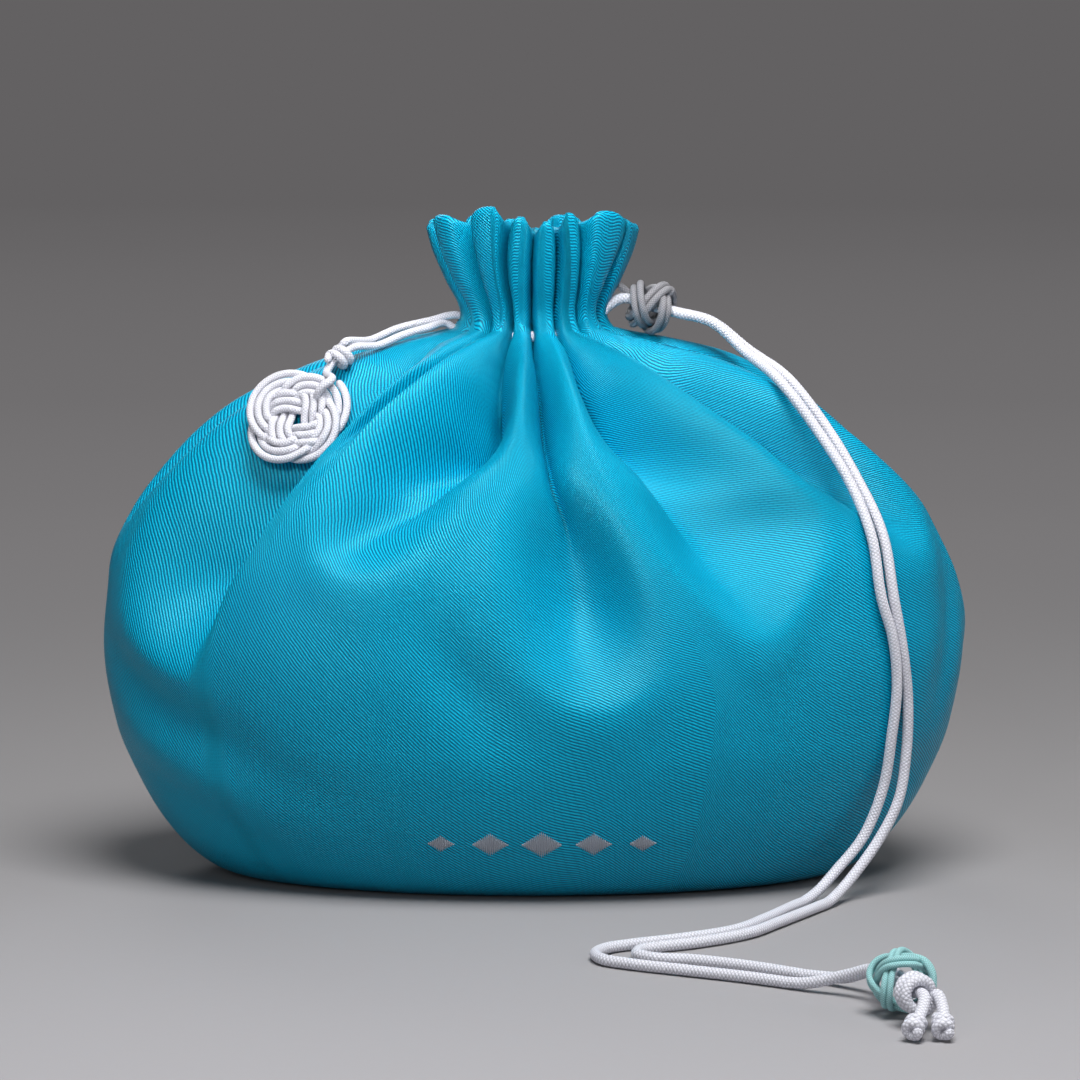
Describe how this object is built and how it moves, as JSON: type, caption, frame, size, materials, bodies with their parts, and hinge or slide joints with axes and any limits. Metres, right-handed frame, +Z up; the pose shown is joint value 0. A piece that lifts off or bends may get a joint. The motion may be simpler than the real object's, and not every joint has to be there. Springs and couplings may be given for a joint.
{
  "type": "drawstring pouch",
  "caption": "Satin drawstring pouch drawn shut and standing on its base, with a knotted white cord, a grey lock knot, a knotted bead and a flat ornamental knot.",
  "frame": {"origin": "centre of the pouch's box at floor level", "axes": "+Z up, +X to the right as the front is looked at, front faces -Y"},
  "size_m": [0.2003, 0.2242, 0.1545],
  "materials": {
    "satin": "satin twill weave, soft sheen",
    "white_cord": "round braided cord",
    "grey_cord": "round braided cord",
    "mint_cord": "round braided cord"
  },
  "bodies": {
    "pouch": {"pouch_cloth": "satin", "drawstring": "white_cord", "ornament_cord": "white_cord"},
    "lock": {"lock_knot": "grey_cord"},
    "bead": {"slider_bead": "mint_cord"}
  },
  "joints": [
    {"name": "lock_knot_slide", "type": "slide", "parent": "pouch", "child": "lock", "axis": [0.97, 0, -0.243], "range_m": [0, 0.008]},
    {"name": "bead_slide", "type": "slide", "parent": "pouch", "child": "bead", "axis": [-0.3, 0.9539, 0], "range_m": [0, 0.005]}
  ]
}
